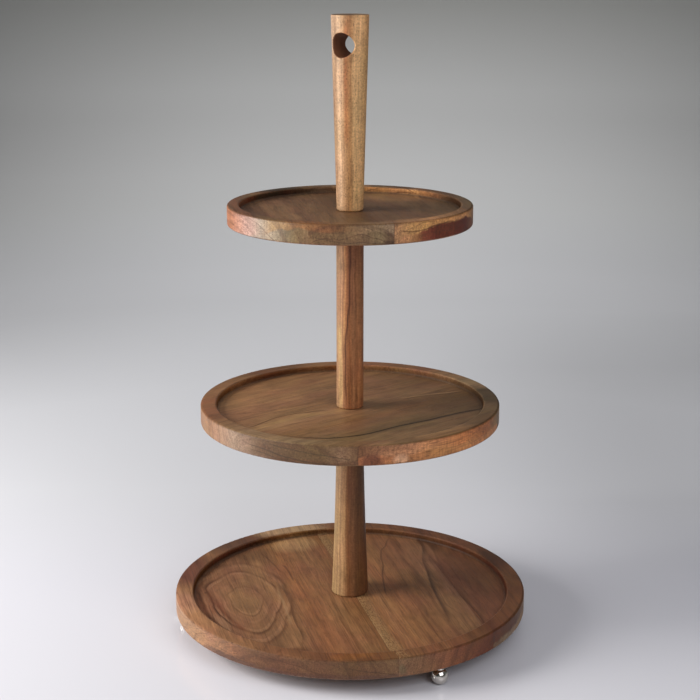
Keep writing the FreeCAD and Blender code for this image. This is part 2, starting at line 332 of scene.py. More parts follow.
def measure(tree, wood):
    # A point's places in mm in the grain, what kind of face it lies on, and the noises that several
    # patterns share. Formula: "straight" is across the grain and "across" is that with noise added, so
    # that stripes wander; "along" follows the grain, and "deep" counts up from the recess's floor.
    place = addNode(tree, "TexCoord").outputs["Object"]
    grain = addNode(tree, "Mapping", [place, wood["shift"], [math.radians(a) for a in wood["turn"]],
                                      (1000, 1000, 1000)])
    parts = addNode(tree, "SeparateXYZ", [grain])
    straight, along, deep = parts.outputs
    across = straight
    for amount, wide, long in (wood["wander"], wood["ripple"]):
        noise = blots(tree, grain, (wide, long, wide), 2)
        move = addNode(tree, "MapRange", [noise, 0.25, 0.75, -amount, amount])
        across = addNode(tree, "Math", [across, move], "ADD")
    noise = blots(tree, grain, (26, 48, 26), 1.5)
    stray = addNode(tree, "MapRange", [noise, 0.25, 0.75, -wood["stray"], wood["stray"]])
    uneven = addNode(tree, "MapRange", [noise, 0.35, 0.62, 1, 0.45])
    cloud = blots(tree, grain, (16, 30, 16), 4, turn=0.45, Distortion=0.6)

    normal = addNode(tree, "NewGeometry").outputs["Normal"]
    normal = addNode(tree, "SeparateXYZ", [normal])
    facing = addNode(tree, "Math", [normal.outputs["Z"]], "ABSOLUTE")
    upright = addNode(tree, "MapRange", [facing, 0.35, 0.8, 1, 0])
    lying = addNode(tree, "Math", [1, upright], "SUBTRACT")
    raised = addNode(tree, "MapRange", [deep, 3, 6.5, 0, 1])  # the rim is 7 mm above the floor
    onRim = addNode(tree, "Math", [raised, lying], "MULTIPLY")
    sunk = addNode(tree, "MapRange", [deep, 2, 4, 1, 0])
    sunk = addNode(tree, "Math", [sunk, lying], "MULTIPLY")
    reach = addNode(tree, "CombineXYZ", [straight, along])
    reach = addNode(tree, "VectorMath", [reach], "LENGTH")
    regions = {  # where a patch or streak shows, and the two lengths that place a patch
        "floor": (sunk, across, along),
        "rim": (onRim, across, along),
        "side": (upright, across, deep),
        "edge": (upright, along, deep),
    }
    return SimpleNamespace(
        grain=grain, straight=straight, across=across, along=along, deep=deep, reach=reach, facing=facing,
        upright=upright, raised=raised, sunk=sunk, regions=regions, noise=noise, stray=stray,
        uneven=uneven, cloud=cloud)


def groundTones(tree, wood, at):  # of floor, rim, wall and side
    colour = toneAlong(tree, at.across, wood["tones"])
    # painted light and shade: the floor's brightness along the grain
    fade = toneAlong(tree, at.along, wood["fade"])
    colour = addNode(tree, "Mix", [1, colour, fade], data_type="RGBA", blend_type="MULTIPLY")
    if wood["rim"]:
        rim = toneAlong(tree, at.across, wood["rim"])
        colour = addNode(tree, "Mix", [at.raised, colour, rim], data_type="RGBA")
    if wood["side"]:
        side = toneAlong(tree, at.across, wood["side"])
    elif wood["sideAlong"]:
        side = toneAlong(tree, at.along, wood["sideAlong"])
    else:
        return colour
    if wood["under"]:
        level = curveAlong(tree, at.across, wood["under"]["edge"])
        below = addNode(tree, "Math", [level, at.deep], "SUBTRACT")
        below = addNode(tree, "Math", [at.stray, 0.7, below], "MULTIPLY_ADD")
        ragged = addNode(tree, "MapRange", [at.cloud, *spread, -2.5, 2.5])
        below = addNode(tree, "Math", [below, ragged], "ADD")
        below = addNode(tree, "MapRange", [below, -1.2, 1.2, 0, 1])
        under = toneAlong(tree, at.across, wood["under"]["tones"])
        side = addNode(tree, "Mix", [below, side, under], data_type="RGBA")
    # the recess's wall tones hold painted light and shade as well as the wood's colour
    if wood["wall"]:
        recess = wood["radii"][1]
        outside = addNode(tree, "MapRange", [at.reach, recess + 1, recess + 3, 0, 1])
        wall = toneAlong(tree, at.across, wood["wall"])
        side = addNode(tree, "Mix", [outside, wall, side], data_type="RGBA")
    return addNode(tree, "Mix", [at.upright, colour, side], data_type="RGBA")


def layPatches(tree, wood, at, colour):
    for where, middle, size, tone, strength in wood["patches"]:
        mask, *pair = at.regions[where]
        spot = addNode(tree, "CombineXYZ", pair)
        spot = addNode(tree, "VectorMath", [spot, (*middle, 0)], "SUBTRACT")
        spot = addNode(tree, "VectorMath", [spot, (*size, 1)], "DIVIDE")
        spot = addNode(tree, "VectorMath", [spot], "LENGTH")
        spot = addNode(tree, "Math", [at.stray, 0.05, spot], "MULTIPLY_ADD")
        mark = addNode(tree, "MapRange", [spot, 0.55, 1.1, strength, 0])
        colour = layOver(tree, colour, tone, mark, mask)
    return colour


def growthBands(tree, wood, at):
    # Formula: growth rings are cylinders round the pith, so their radius is the length of
    # (across - pith, depth + deep). They show most on the upright faces.
    fromPith = addNode(tree, "Math", [at.across, wood["pith"]], "SUBTRACT")
    sink = addNode(tree, "Math", [at.deep, wood["depth"]], "ADD")
    radius = addNode(tree, "CombineXYZ", [fromPith, sink])
    radius = addNode(tree, "VectorMath", [radius], "LENGTH")
    radius = addNode(tree, "Math", [radius, at.stray], "ADD")
    turns = addNode(tree, "Math", [radius, wood["ringWidth"]], "DIVIDE")
    growth = addNode(tree, "TexNoise", {"W": turns, "Scale": 1, "Detail": 3, "Roughness": 0.65},
                     noise_dimensions="1D")
    band = addNode(tree, "MapRange", [growth, 0.42, 0.72, 0, wood["bands"]])
    fine = addNode(tree, "TexNoise", {"W": turns, "Scale": 1.9, "Detail": 1}, noise_dimensions="1D")
    fine = addNode(tree, "Math", [fine, 0.56], "SUBTRACT")
    fine = addNode(tree, "Math", [fine], "ABSOLUTE")
    fine = addNode(tree, "MapRange", [fine, 0, 0.022, wood["lines"], 0])
    fine = addNode(tree, "Math", [fine, at.uneven], "MULTIPLY")
    band = addNode(tree, "Math", [band, fine], "MAXIMUM")
    boost = addNode(tree, "MapRange", [at.upright, 0, 1, 1, 1.5])
    return addNode(tree, "Math", [band, boost], "MULTIPLY")


def layEye(tree, wood, at, colour, band):
    # Formula: an eye's rings are where the distance from its centre is a given share of the distance
    # of its outline in that direction. Inside it the growth bands are weaker.
    eye = wood["eye"]
    space = addNode(tree, "CombineXYZ", [at.straight, at.along])
    space = addNode(tree, "VectorMath", [space, (*eye["centre"], 0)], "SUBTRACT")
    space = addNode(tree, "VectorMath", [space, (1, eye["squeeze"], 0)], "MULTIPLY")
    aside = addNode(tree, "SeparateXYZ", [space])
    turn = addNode(tree, "Math", [aside.outputs["Y"], aside.outputs["X"]], "ARCTAN2")
    turn = addNode(tree, "Math", [turn], "DEGREES")
    most = 50  # mm, because a colour ramp holds values up to 1
    outline = toneAlong(tree, turn, [(angle, distance / most) for angle, distance in eye["outline"]])
    outline = addNode(tree, "Math", [outline, most], "MULTIPLY")
    away = addNode(tree, "VectorMath", [space], "LENGTH")
    away = addNode(tree, "Math", [at.stray, eye["stray"], away], "MULTIPLY_ADD")
    share = addNode(tree, "Math", [away, outline], "DIVIDE")
    calm = addNode(tree, "MapRange", [share, 1.1, 1.6, 0.35, 1])
    calm = addNode(tree, "Math", [calm, at.upright], "MAXIMUM")
    band = addNode(tree, "Math", [band, calm], "MULTIPLY")
    heart = addNode(tree, "MapRange", [share, 0.3, 0.9, 0.6, 0])
    colour = layOver(tree, colour, eye["heart"], heart, at.sunk)
    weight = toneAlong(tree, turn, eye["weight"])
    weight = addNode(tree, "Math", [at.uneven, weight], "MULTIPLY")
    for rings, tone in ((eye["pale"], wood["pale"]), (eye["rings"], wood["line"])):
        mark = addNode(tree, "Math", [ridges(tree, share, rings), weight], "MULTIPLY")
        colour = layOver(tree, colour, tone, mark, at.sunk)
    return colour, band


def layStreaks(tree, wood, at, colour):  # and pin knots
    for where, path, (before, after), tone, strength in wood["drawn"]:
        way, offset = (at.across, at.deep) if where == "side" else (at.along, at.across)
        aside = addNode(tree, "Math", [offset, curveAlong(tree, way, path)], "SUBTRACT")
        if where == "side":
            aside = addNode(tree, "Math", [at.stray, 0.35, aside], "MULTIPLY_ADD")
        aside = addNode(tree, "MapRange", [aside, -before, after, 0, 1])
        mark = addNode(tree, "ValToRGB", [aside], easing="EASE", stops=[
            (0, 0), (before / (before + after), strength), (1, 0)])
        first, last = path[0][0], path[-1][0]
        taper = 0.12 * (last - first)
        fade = toneAlong(tree, way, [(first, 0), (first + taper, 1), (last - taper, 1), (last, 0)])
        if where in at.regions:
            mark = addNode(tree, "Math", [mark, fade], "MULTIPLY")
            fade = at.regions[where][0]
        colour = layOver(tree, colour, tone, mark, fade)
    for *spot, wide in wood["knots"]:
        away = addNode(tree, "VectorMath", [at.grain, spot], "DISTANCE")
        mark = addNode(tree, "MapRange", [away, 0.3 * wide, 0.7 * wide, 0.85, 0])
        colour = layOver(tree, colour, wood["pore"], mark)
    return colour


def shadeFibres(tree, wood, at, colour, strand):
    # Clouds, fibres, the unevenness of sawn faces, hairlines, painted shade in the cove of the recess, and
    # a darker rounded outer edge. "dull" is where a tray is less smooth.
    rub = blots(tree, at.grain, (1.8, 1.8, 7), 2)
    rub = addNode(tree, "MapRange", [rub, *spread, -wood["speck"], wood["speck"]])
    least, most = wood["gain"] - wood["mottle"], wood["gain"] + wood["mottle"]
    shade = addNode(tree, "MapRange", [at.cloud, *spread, least, most])
    shade = addNode(tree, "Math", [rub, at.upright, shade], "MULTIPLY_ADD")
    shine = addNode(tree, "MapRange", [strand, *spread, 1 - wood["fibre"], 1 + wood["fibre"]])
    shade = addNode(tree, "Math", [shade, shine], "MULTIPLY")
    dull = None
    if wood["radii"]:
        outer, recess = wood["radii"]
        # painted shade in the cove at the foot of the recess's wall, then a darker rounded outer edge
        oil = addNode(tree, "MapRange", [at.reach, recess - 4, recess - 1, 0, 1])
        low = addNode(tree, "MapRange", [at.deep, 1, 5.5, wood["cove"], 0])
        oil = addNode(tree, "Math", [oil, low], "MULTIPLY")
        inside = addNode(tree, "MapRange", [at.reach, recess + 1, recess + 2, 1, 0])
        oil = addNode(tree, "Math", [oil, inside], "MULTIPLY")
        edge = addNode(tree, "MapRange", [at.reach, outer - 2.2, outer - 0.8, 0, wood["edge"]])
        high = addNode(tree, "MapRange", [at.deep, 4.6, 6.2, 0, 1])
        edge = addNode(tree, "Math", [edge, high], "MULTIPLY")
        oil = addNode(tree, "Math", [oil, edge], "ADD")
        within = addNode(tree, "MapRange", [at.reach, recess + 1, recess + 3, 1, 0])
        dull = addNode(tree, "Math", [within, at.upright], "MULTIPLY")
        dull = addNode(tree, "Math", [edge, 2, dull], "MULTIPLY_ADD", use_clamp=True)
        oil = addNode(tree, "Math", [1, oil], "SUBTRACT")
        shade = addNode(tree, "Math", [shade, oil], "MULTIPLY")
    ends = addNode(tree, "MapRange", [at.facing, 0.75, 0.97, 1, wood["ends"]])
    shade = addNode(tree, "Math", [shade, ends], "MULTIPLY")
    hue = addNode(tree, "SeparateXYZ", [at.noise.outputs["Color"]])
    hue = addNode(tree, "MapRange", [hue.outputs["Y"], 0.36, 0.64, 0.5 - wood["hue"],
                                     0.5 + 0.3 * wood["hue"]])
    colour = addNode(tree, "HueSaturation", {"Hue": hue, "Value": shade, "Color": colour})
    colour = addNode(tree, "Mix", [1, colour, linear(wood["oil"])], data_type="RGBA",
                     blend_type="MULTIPLY")
    hair = blots(tree, at.grain, (1.3, 75, 1.3), 1)
    hair = addNode(tree, "MapRange", [hair, 0.6, 0.72, 0, wood["hairs"]])
    colour = layOver(tree, colour, wood["line"], hair)
    return colour, dull


def openPores(tree, wood, at, colour):  # and a strip of them that stands open
    size = (wood["poreWidth"], wood["poreLength"], wood["poreWidth"])
    space = addNode(tree, "Mapping", {"Vector": at.grain, "Scale": [1 / length for length in size]})
    cell = addNode(tree, "TexVoronoi", {"Vector": space, "Scale": 1})
    hole = addNode(tree, "MapRange", [cell.outputs["Distance"], 0.18, 0.42, 1, 0])
    chance = addNode(tree, "SeparateXYZ", [cell.outputs["Color"]])
    chosen = addNode(tree, "MapRange", [chance, 0.5, 0.9, 0, wood["pores"]])
    hole = addNode(tree, "Math", [hole, chosen], "MULTIPLY")
    colour = layOver(tree, colour, wood["pore"], hole)
    if wood["flecks"]:
        start, end, light = wood["flecks"]
        fleck = blots(tree, at.grain, (1.6, 3.4, 1.6), 2)
        strip = toneAlong(tree, at.across, [(start - 1, 0), (start + 1, 1), (end - 8, 0.8), (end, 0)])
        fainter = addNode(tree, "MapRange", [at.upright, 0, 1, 1, 0.3])
        strip = addNode(tree, "Math", [strip, fainter], "MULTIPLY")
        pale = addNode(tree, "MapRange", [fleck, 0.5, 0.62, 0, 0.6])
        colour = layOver(tree, colour, light, pale, strip)
        gap = addNode(tree, "MapRange", [fleck, 0.36, 0.46, 0.45, 0])
        gap = addNode(tree, "Math", [gap, strip], "MULTIPLY")
        colour = layOver(tree, colour, wood["pore"], gap)
        hole = addNode(tree, "Math", [hole, gap], "MAXIMUM")
    return colour, hole


def makeAcacia(name, look):
    wood = {**acacia, **look}
    material, tree = newMaterial(name)
    at = measure(tree, wood)
    colour = groundTones(tree, wood, at)
    colour = layPatches(tree, wood, at, colour)
    band = growthBands(tree, wood, at)
    if wood["eye"]:
        colour, band = layEye(tree, wood, at, colour, band)
    colour = layOver(tree, colour, wood["dark"], band)
    colour = layStreaks(tree, wood, at, colour)
    strand = blots(tree, at.grain, (1.5, 42, 1.5), 3, Roughness=0.6)
    colour, dull = shadeFibres(tree, wood, at, colour, strand)
    colour, hole = openPores(tree, wood, at, colour)
    for seam in wood["seams"]:
        away = addNode(tree, "Math", [at.straight, seam], "SUBTRACT")
        away = addNode(tree, "Math", [away], "ABSOLUTE")
        mark = addNode(tree, "MapRange", [away, *wood["glue"], 0])
        colour = layOver(tree, colour, wood["line"], mark)

    rough = addNode(tree, "MapRange", [strand, *spread, wood["roughness"] - 0.06, wood["roughness"] + 0.08])
    if wood["bore"]:  # its wall is end grain, darkened further with painted shade
        height, wide, turn = wood["bore"]
        beside = (math.cos(math.radians(turn)), 0, math.sin(math.radians(turn)))
        beside = addNode(tree, "VectorMath", [at.grain, beside], "DOT_PRODUCT").outputs["Value"]
        above = addNode(tree, "Math", [at.along, height], "SUBTRACT")
        away = addNode(tree, "CombineXYZ", [beside, above])
        away = addNode(tree, "VectorMath", [away], "LENGTH")
        boreEndGrainAndShade = addNode(tree, "MapRange", [away, wide + 0.1, wide + 0.9, 0.9, 0])
        colour = layOver(tree, colour, wood["boreEndGrainAndShadeTone"], boreEndGrainAndShade)
        rough = addNode(tree, "Math", [boreEndGrainAndShade, 0.3, rough], "MULTIPLY_ADD")
    rough = addNode(tree, "Math", [hole, 0.2, rough], "MULTIPLY_ADD")
    sheen = 0.5
    if dull:
        rough = addNode(tree, "Math", [dull, 0.25, rough], "MULTIPLY_ADD")
        sheen = addNode(tree, "MapRange", [dull, 0, 1, sheen, 0.1])
    relief = addNode(tree, "Math", [hole, -0.9, strand], "MULTIPLY_ADD")
    bump = addNode(tree, "Bump", {"Strength": 0.3, "Distance": 0.0004, "Height": relief})
    shader = addNode(tree, "BsdfPrincipled", {
        "Base Color": colour, "Roughness": rough, "Normal": bump, "IOR": wood["ior"],
        "Specular IOR Level": sheen})
    addNode(tree, "OutputMaterial", [shader])
    return material


bottomTray = {
    "turn": (0, 0, -14), "shift": (0, 0, -31.5), "radii": (180, 162),
    "fade": [(-180, 0.8), (-145, 0.88), (-110, 0.98), (40, 1), (150, 1.04), (180, 1)],
    "patches": [("floor", (-30, 140), (26, 26), "#b08a61", 0.8),
                ("rim", (-30, 168), (50, 20), "#b79773", 0.85),
                ("rim", (-40, -164), (26, 9), "#87592f", 0.6)],
    "boards": [
        {"tones": [(-180, "#9a6646"), (-154, "#966343"), (-140, "#845b40"), (-95, "#845f42"),
                   (-79, "#8e6746"), (-65, "#80593c"), (-50, "#966841")],
         "rim": [(-180, "#a27653"), (-165, "#a07350"), (-120, "#7c563a"), (-50, "#6f492e")],
         "wall": [(-160, "#6c4424"), (-137, "#613b21"), (-124, "#72402b"), (-71, "#5e3c22"),
                  (-50, "#835736")],
         "side": [(-180, "#a67f5d"), (-141, "#8b5f43"), (-134, "#724e36"), (-120, "#68472f"),
                  (-50, "#6a4c31")],
         "under": {"edge": [(-180, -16), (-165, -11), (-150, -7), (-100, -9), (-50, -8)],
                   "tones": [(-180, "#9a7a5c"), (-165, "#80604a"), (-154, "#5c4032"), (-50, "#5c3f2d")]},
         "pith": -104, "depth": 60, "ringWidth": 8, "bands": 0.25,
         "eye": {"centre": (-109, 0), "squeeze": 0.45, "heart": "#8c6846", "stray": 0.5,
                 "outline": [(-180, 33), (-173, 34.5), (-145, 33), (-121, 35.5), (-90, 35.5), (-57, 31),
                             (-35, 29), (1, 36), (47, 36), (90, 34), (128, 34), (153, 40.5), (168, 35),
                             (180, 33)],
                 "weight": [(-180, 1), (-60, 1), (10, 0.8), (50, 0.5), (110, 0.5), (150, 1), (180, 1)],
                 "rings": [(0.48, 0.03, 0.7), (0.74, 0.03, 0.25), (1, 0.05, 1), (1.31, 0.07, 0.7)],
                 "pale": [(0.42, 0.04, 0.35), (0.66, 0.04, 0.25), (0.92, 0.05, 0.55), (1.2, 0.07, 0.45)]},
         "patches": [("floor", (-82, 120), (20, 22), "#6a4a32", 0.7),
                     ("floor", (-84, -132), (14, 16), "#5a3822", 0.8),
                     ("floor", (-143, -50), (9, 26), "#a37c5b", 0.6),
                     ("rim", (-104, 146), (40, 30), "#5f4434", 0.8),
                     ("rim", (-155, 78), (30, 50), "#623c2e", 0.9),
                     ("rim", (-172, -4), (14, 34), "#b48666", 0.7)],
         "drawn": [("side", [(-120, 3), (-95, -1), (-70, -7), (-52, -9)], (1, 1), "#4a3020", 0.5),
                   ("side", [(-160, -4), (-130, -7), (-105, -10)], (1, 1), "#5a3a28", 0.5),
                   ("floor", [(44, -141), (-4, -138), (-49, -131), (-78, -119)], (4, 5), "#643820", 0.7),
                   ("floor",
                    [(60, -152), (39, -151), (-13, -152), (-44, -148), (-89, -140), (-104, -126)],
                    (4, 4), "#6a3e26", 0.6),
                   ("floor", [(126, -70), (95, -63), (62, -58)], (1.5, 2), "#5a3a26", 0.7),
                   ("floor", [(86, -53), (62, -49), (38, -50)], (1.5, 3), "#5a3a26", 0.7),
                   ("floor", [(35, -64), (-20, -68), (-61, -73), (-94, -74), (-120, -86)], (1, 5),
                    "#50321f", 0.6),
                   ("floor", [(30, -70), (-20, -74), (-70, -79)], (3, 3), "#a88460", 0.5)],
         "knots": [(-147, 30, 0, 2.2), (-143.5, -108.6, 7, 2.6)]},
        {"tones": [(-50, "#966841"), (-35, "#8b6140"), (-20, "#8f6744"), (2, "#845b38")],
         "rim": [(-50, "#6e482d"), (-24, "#694428"), (2, "#74502f")],
         "wall": [(-50, "#835736"), (-28, "#aa7c4c"), (-6, "#75522f"), (2, "#7d5833")],
         "side": [(-50, "#6a4c30"), (-37, "#69492c"), (2, "#80613f")],
         "under": {"edge": [(-50, -8), (-20, -8), (2, -9)], "tones": [(-50, "#5c3f2d"), (2, "#6c503a")]},
         "pith": -150, "depth": 70, "ringWidth": 8, "bands": 0.35, "seams": [2],
         "drawn": [("side", [(-48, -1), (-28, -4), (-6, -9), (2, -10)], (1, 1), "#4a3220", 0.6),
                   ("floor", [(-12, -25), (-60, -26), (-115, -25), (-165, -27)], (1.5, 5), "#5a3a22", 0.5),
                   ("floor", [(-8, -1.5), (-60, -1.2), (-130, -1)], (0.9, 0.9), "#4f3420", 0.6)]},
        {"tones": [(2, "#94704a"), (13, "#946f48"), (18, "#8a613c"), (25, "#966c46"), (33, "#8c613d"),
                   (78, "#7b5639"), (92, "#7e5b3e"), (100, "#7b583c"), (107, "#77543c")],
         "rim": [(2, "#7a5536"), (47, "#7a5134"), (107, "#653f27")],
         "wall": [(2, "#7d5833"), (61, "#603e24"), (107, "#5c3b25")],
         "side": [(2, "#846245"), (56, "#825233"), (107, "#613319")], "pith": 170, "depth": 60,
         "ringWidth": 8, "bands": 0.34, "seams": [2, 107.5], "flecks": (2, 18, "#a5855a"),
         "patches": [("side", (6, -5), (6, 6), "#746a4a", 0.6)],
         "drawn": [("floor",
                    [(150, 116), (108, 109), (61, 99), (22, 93), (-16, 88), (-44, 86), (-76, 83),
                     (-104, 79)],
                    (1.6, 6), "#3c271b", 0.75),
                   ("floor", [(136, 78), (113, 71), (97, 60), (50, 47), (0, 36), (-30, 33)], (1, 2),
                    "#42291b", 0.7),
                   ("floor", [(60, 3.4), (-40, 3.2), (-172, 3.4)], (0.9, 1.2), "#b8946a", 0.6),
                   ("floor", [(100, 101), (60, 102), (0, 103), (-45, 99)], (6, 5), "#936c4d", 0.25),
                   ("all", [(-20, 30), (-80, 34), (-160, 40)], (5, 6), "#a0744c", 0.4),
                   ("all", [(-50, 58), (-100, 56), (-150, 58)], (1, 4), "#5c3a24", 0.5)]},
        {"tones": [(107, "#6b4730"), (180, "#6c482f")], "rim": [(107, "#613c26"), (180, "#6f4a2e")],
         "wall": [(107, "#5a3a24"), (152, "#54311d"), (160, "#5d3728")],
         "side": [(107, "#5a3018"), (142, "#5d3b22"), (156, "#684a31"), (170, "#89653f")],
         "under": {"edge": [(107, -9), (140, -5), (180, -4)],
                   "tones": [(107, "#6e5438"), (134, "#8a745a"), (156, "#97744e"), (180, "#8d6745")]},
         "pith": 190, "depth": 50, "bands": 0.38, "seams": [107.5],
         "patches": [("floor", (112, 100), (18, 24), "#4c3222", 0.7),
                     ("floor", (111, 80), (3.5, 26), "#9a6c50", 0.5),
                     ("rim", (168, 32), (14, 34), "#3e261a", 0.7)],
         "drawn": [("floor", [(-35, 108.2), (-70, 108.4), (-118, 108.2)], (1, 1.8), "#3a2112", 0.55)]},
    ],
}
middleTray = {
    "turn": (0, 0, 51), "shift": (0, 0, -231.5), "radii": (150, 134),
    "fade": [(-150, 1.05), (-80, 1.05), (-40, 1), (0, 0.9), (40, 0.86), (80, 0.74), (120, 0.6),
             (150, 0.58)],
    "boards": [
        {"tones": [(-150, "#966c49"), (-95, "#9c734d"), (-62, "#946d4b")],
         "rim": [(-150, "#86623f"), (-110, "#8f6746"), (-90, "#885b3d"), (-62, "#865c3d")],
         "wall": [(-134, "#75492a"), (-123, "#926641"), (-115, "#88562f"), (-91, "#7e5839"),
                  (-77, "#734d2f"), (-62, "#765435")],
         "side": [(-150, "#90684a"), (-77, "#8e6845"), (-62, "#956f4e")],
         "patches": [("rim", (-141, 12), (16, 50), "#5e3a24", 0.55)], "pith": -230, "depth": 70,
         "bands": 0.22},
        {"tones": [(-62, "#946d4b"), (-20, "#8a6745"), (10, "#967350")],
         "rim": [(-62, "#845b3c"), (-37, "#7c5639"), (10, "#886a4b")],
         "wall": [(-62, "#765435"), (-26, "#6d4a30"), (-7, "#6e5136"), (10, "#62462c")],
         "side": [(-62, "#95714e"), (-34, "#926e4d"), (-3, "#a08069"), (10, "#98806a")], "pith": -200,
         "depth": 60, "bands": 0.28,
         "drawn": [("floor", [(15, 8), (-27, 6), (-66, -2), (-95, -1), (-124, 2)], (10, 9), "#a38054",
                    0.65),
                   ("floor", [(-20, 0), (-45, -8), (-73, -14), (-100, -10), (-124, -5)], (1.2, 2),
                    "#553820", 0.85),
                   ("floor", [(-10, -31), (-18, -33), (-75, -42), (-122, -60)], (1, 4), "#6b4a2e", 0.5)]},
        {"tones": [(10, "#94704c"), (40, "#7e5c3a"), (55, "#7e5e3f"), (82, "#6a5437"), (100, "#7c6142"),
                   (121, "#7f6544")],
         "rim": [(10, "#89694b"), (22, "#8f7555"), (51, "#886d4e"), (75, "#8b7554"), (100, "#7b6042"),
                 (121, "#806140")],
         "wall": [(10, "#62462c"), (30, "#644a32"), (65, "#423222"), (81, "#3f3020"), (121, "#6b4627")],
         "side": [(10, "#98806a"), (43, "#654d35"), (60, "#59442d"), (98, "#664e31"), (110, "#84664a"),
                  (121, "#6c5030")],
         "under": {"edge": [(10, -16), (40, -10), (60, -9), (100, -9), (121, -9)],
                   "tones": [(10, "#9b826e"), (60, "#5a4029"), (121, "#64472d")]},
         "pith": 53, "depth": 40, "ringWidth": 8, "bands": 0.32, "lines": 0.5, "seams": [121],
         "patches": [("rim", (78, 120), (40, 30), "#453824", 0.85),
                     ("rim", (112, 84), (26, 34), "#54442f", 0.7),
                     ("floor", (117, 60), (10, 22), "#453526", 0.5)],
         "drawn": [("floor", [(-36, 13), (-66, 10), (-122, 9)], (1.2, 2), "#553820", 0.6),
                   ("side", [(22, -1), (50, -4), (80, -9), (112, -13)], (1.2, 0.8), "#352a1c", 0.7),
                   ("side", [(30, -6), (58, -9), (84, -12)], (0.9, 0.7), "#3c2f20", 0.6),
                   ("side", [(48, 3), (72, 1), (98, -3), (121, -8)], (1.2, 0.8), "#3c3020", 0.6),
                   ("floor", [(50, 6), (61, 9), (90, 18), (117, 27), (128, 30)], (1.6, 1.6), "#ab8862",
                    0.6),
                   ("floor", [(50, 10), (61, 13), (90, 22), (117, 31), (128, 34)], (1.6, 2), "#523823",
                    0.55),
                   ("floor",
                    [(130, 92), (101, 89), (67, 86), (26, 85), (-12, 83), (-45, 84), (-75, 74), (-89, 63),
                     (-104, 45), (-118, 10)],
                    (1.8, 4.5), "#241811", 1)]},
        {"tones": [(121, "#7a5d3e"), (150, "#80664a")],
         "rim": [(121, "#846344"), (133, "#8c6e4a"), (143, "#7c5d3b"), (150, "#7c5f3c")],
         "sideAlong": [(-85, "#735030"), (-49, "#c08c5f"), (13, "#bb7846"), (59, "#a1683a"),
                       (86, "#7b5d37"), (98, "#563b20")],
         "under": {"edge": [(110, -7), (130, -6), (151, -5)],
                   "tones": [(110, "#a86f44"), (151, "#b07848")]},
         "patches": [("edge", (-78, -9), (11, 9), "#6c4228", 0.9),
                     ("edge", (-53, -8), (9, 6), "#dfae86", 0.8),
                     ("edge", (-58, 3), (16, 4), "#8a6040", 0.6),
                     ("rim", (136, -46), (12, 16), "#6a5438", 0.7),
                     ("rim", (128, 58), (22, 34), "#54422c", 0.7)],
         "pith": 200, "depth": 30, "bands": 0.25, "seams": [121], "speck": 0.22},
    ],
}
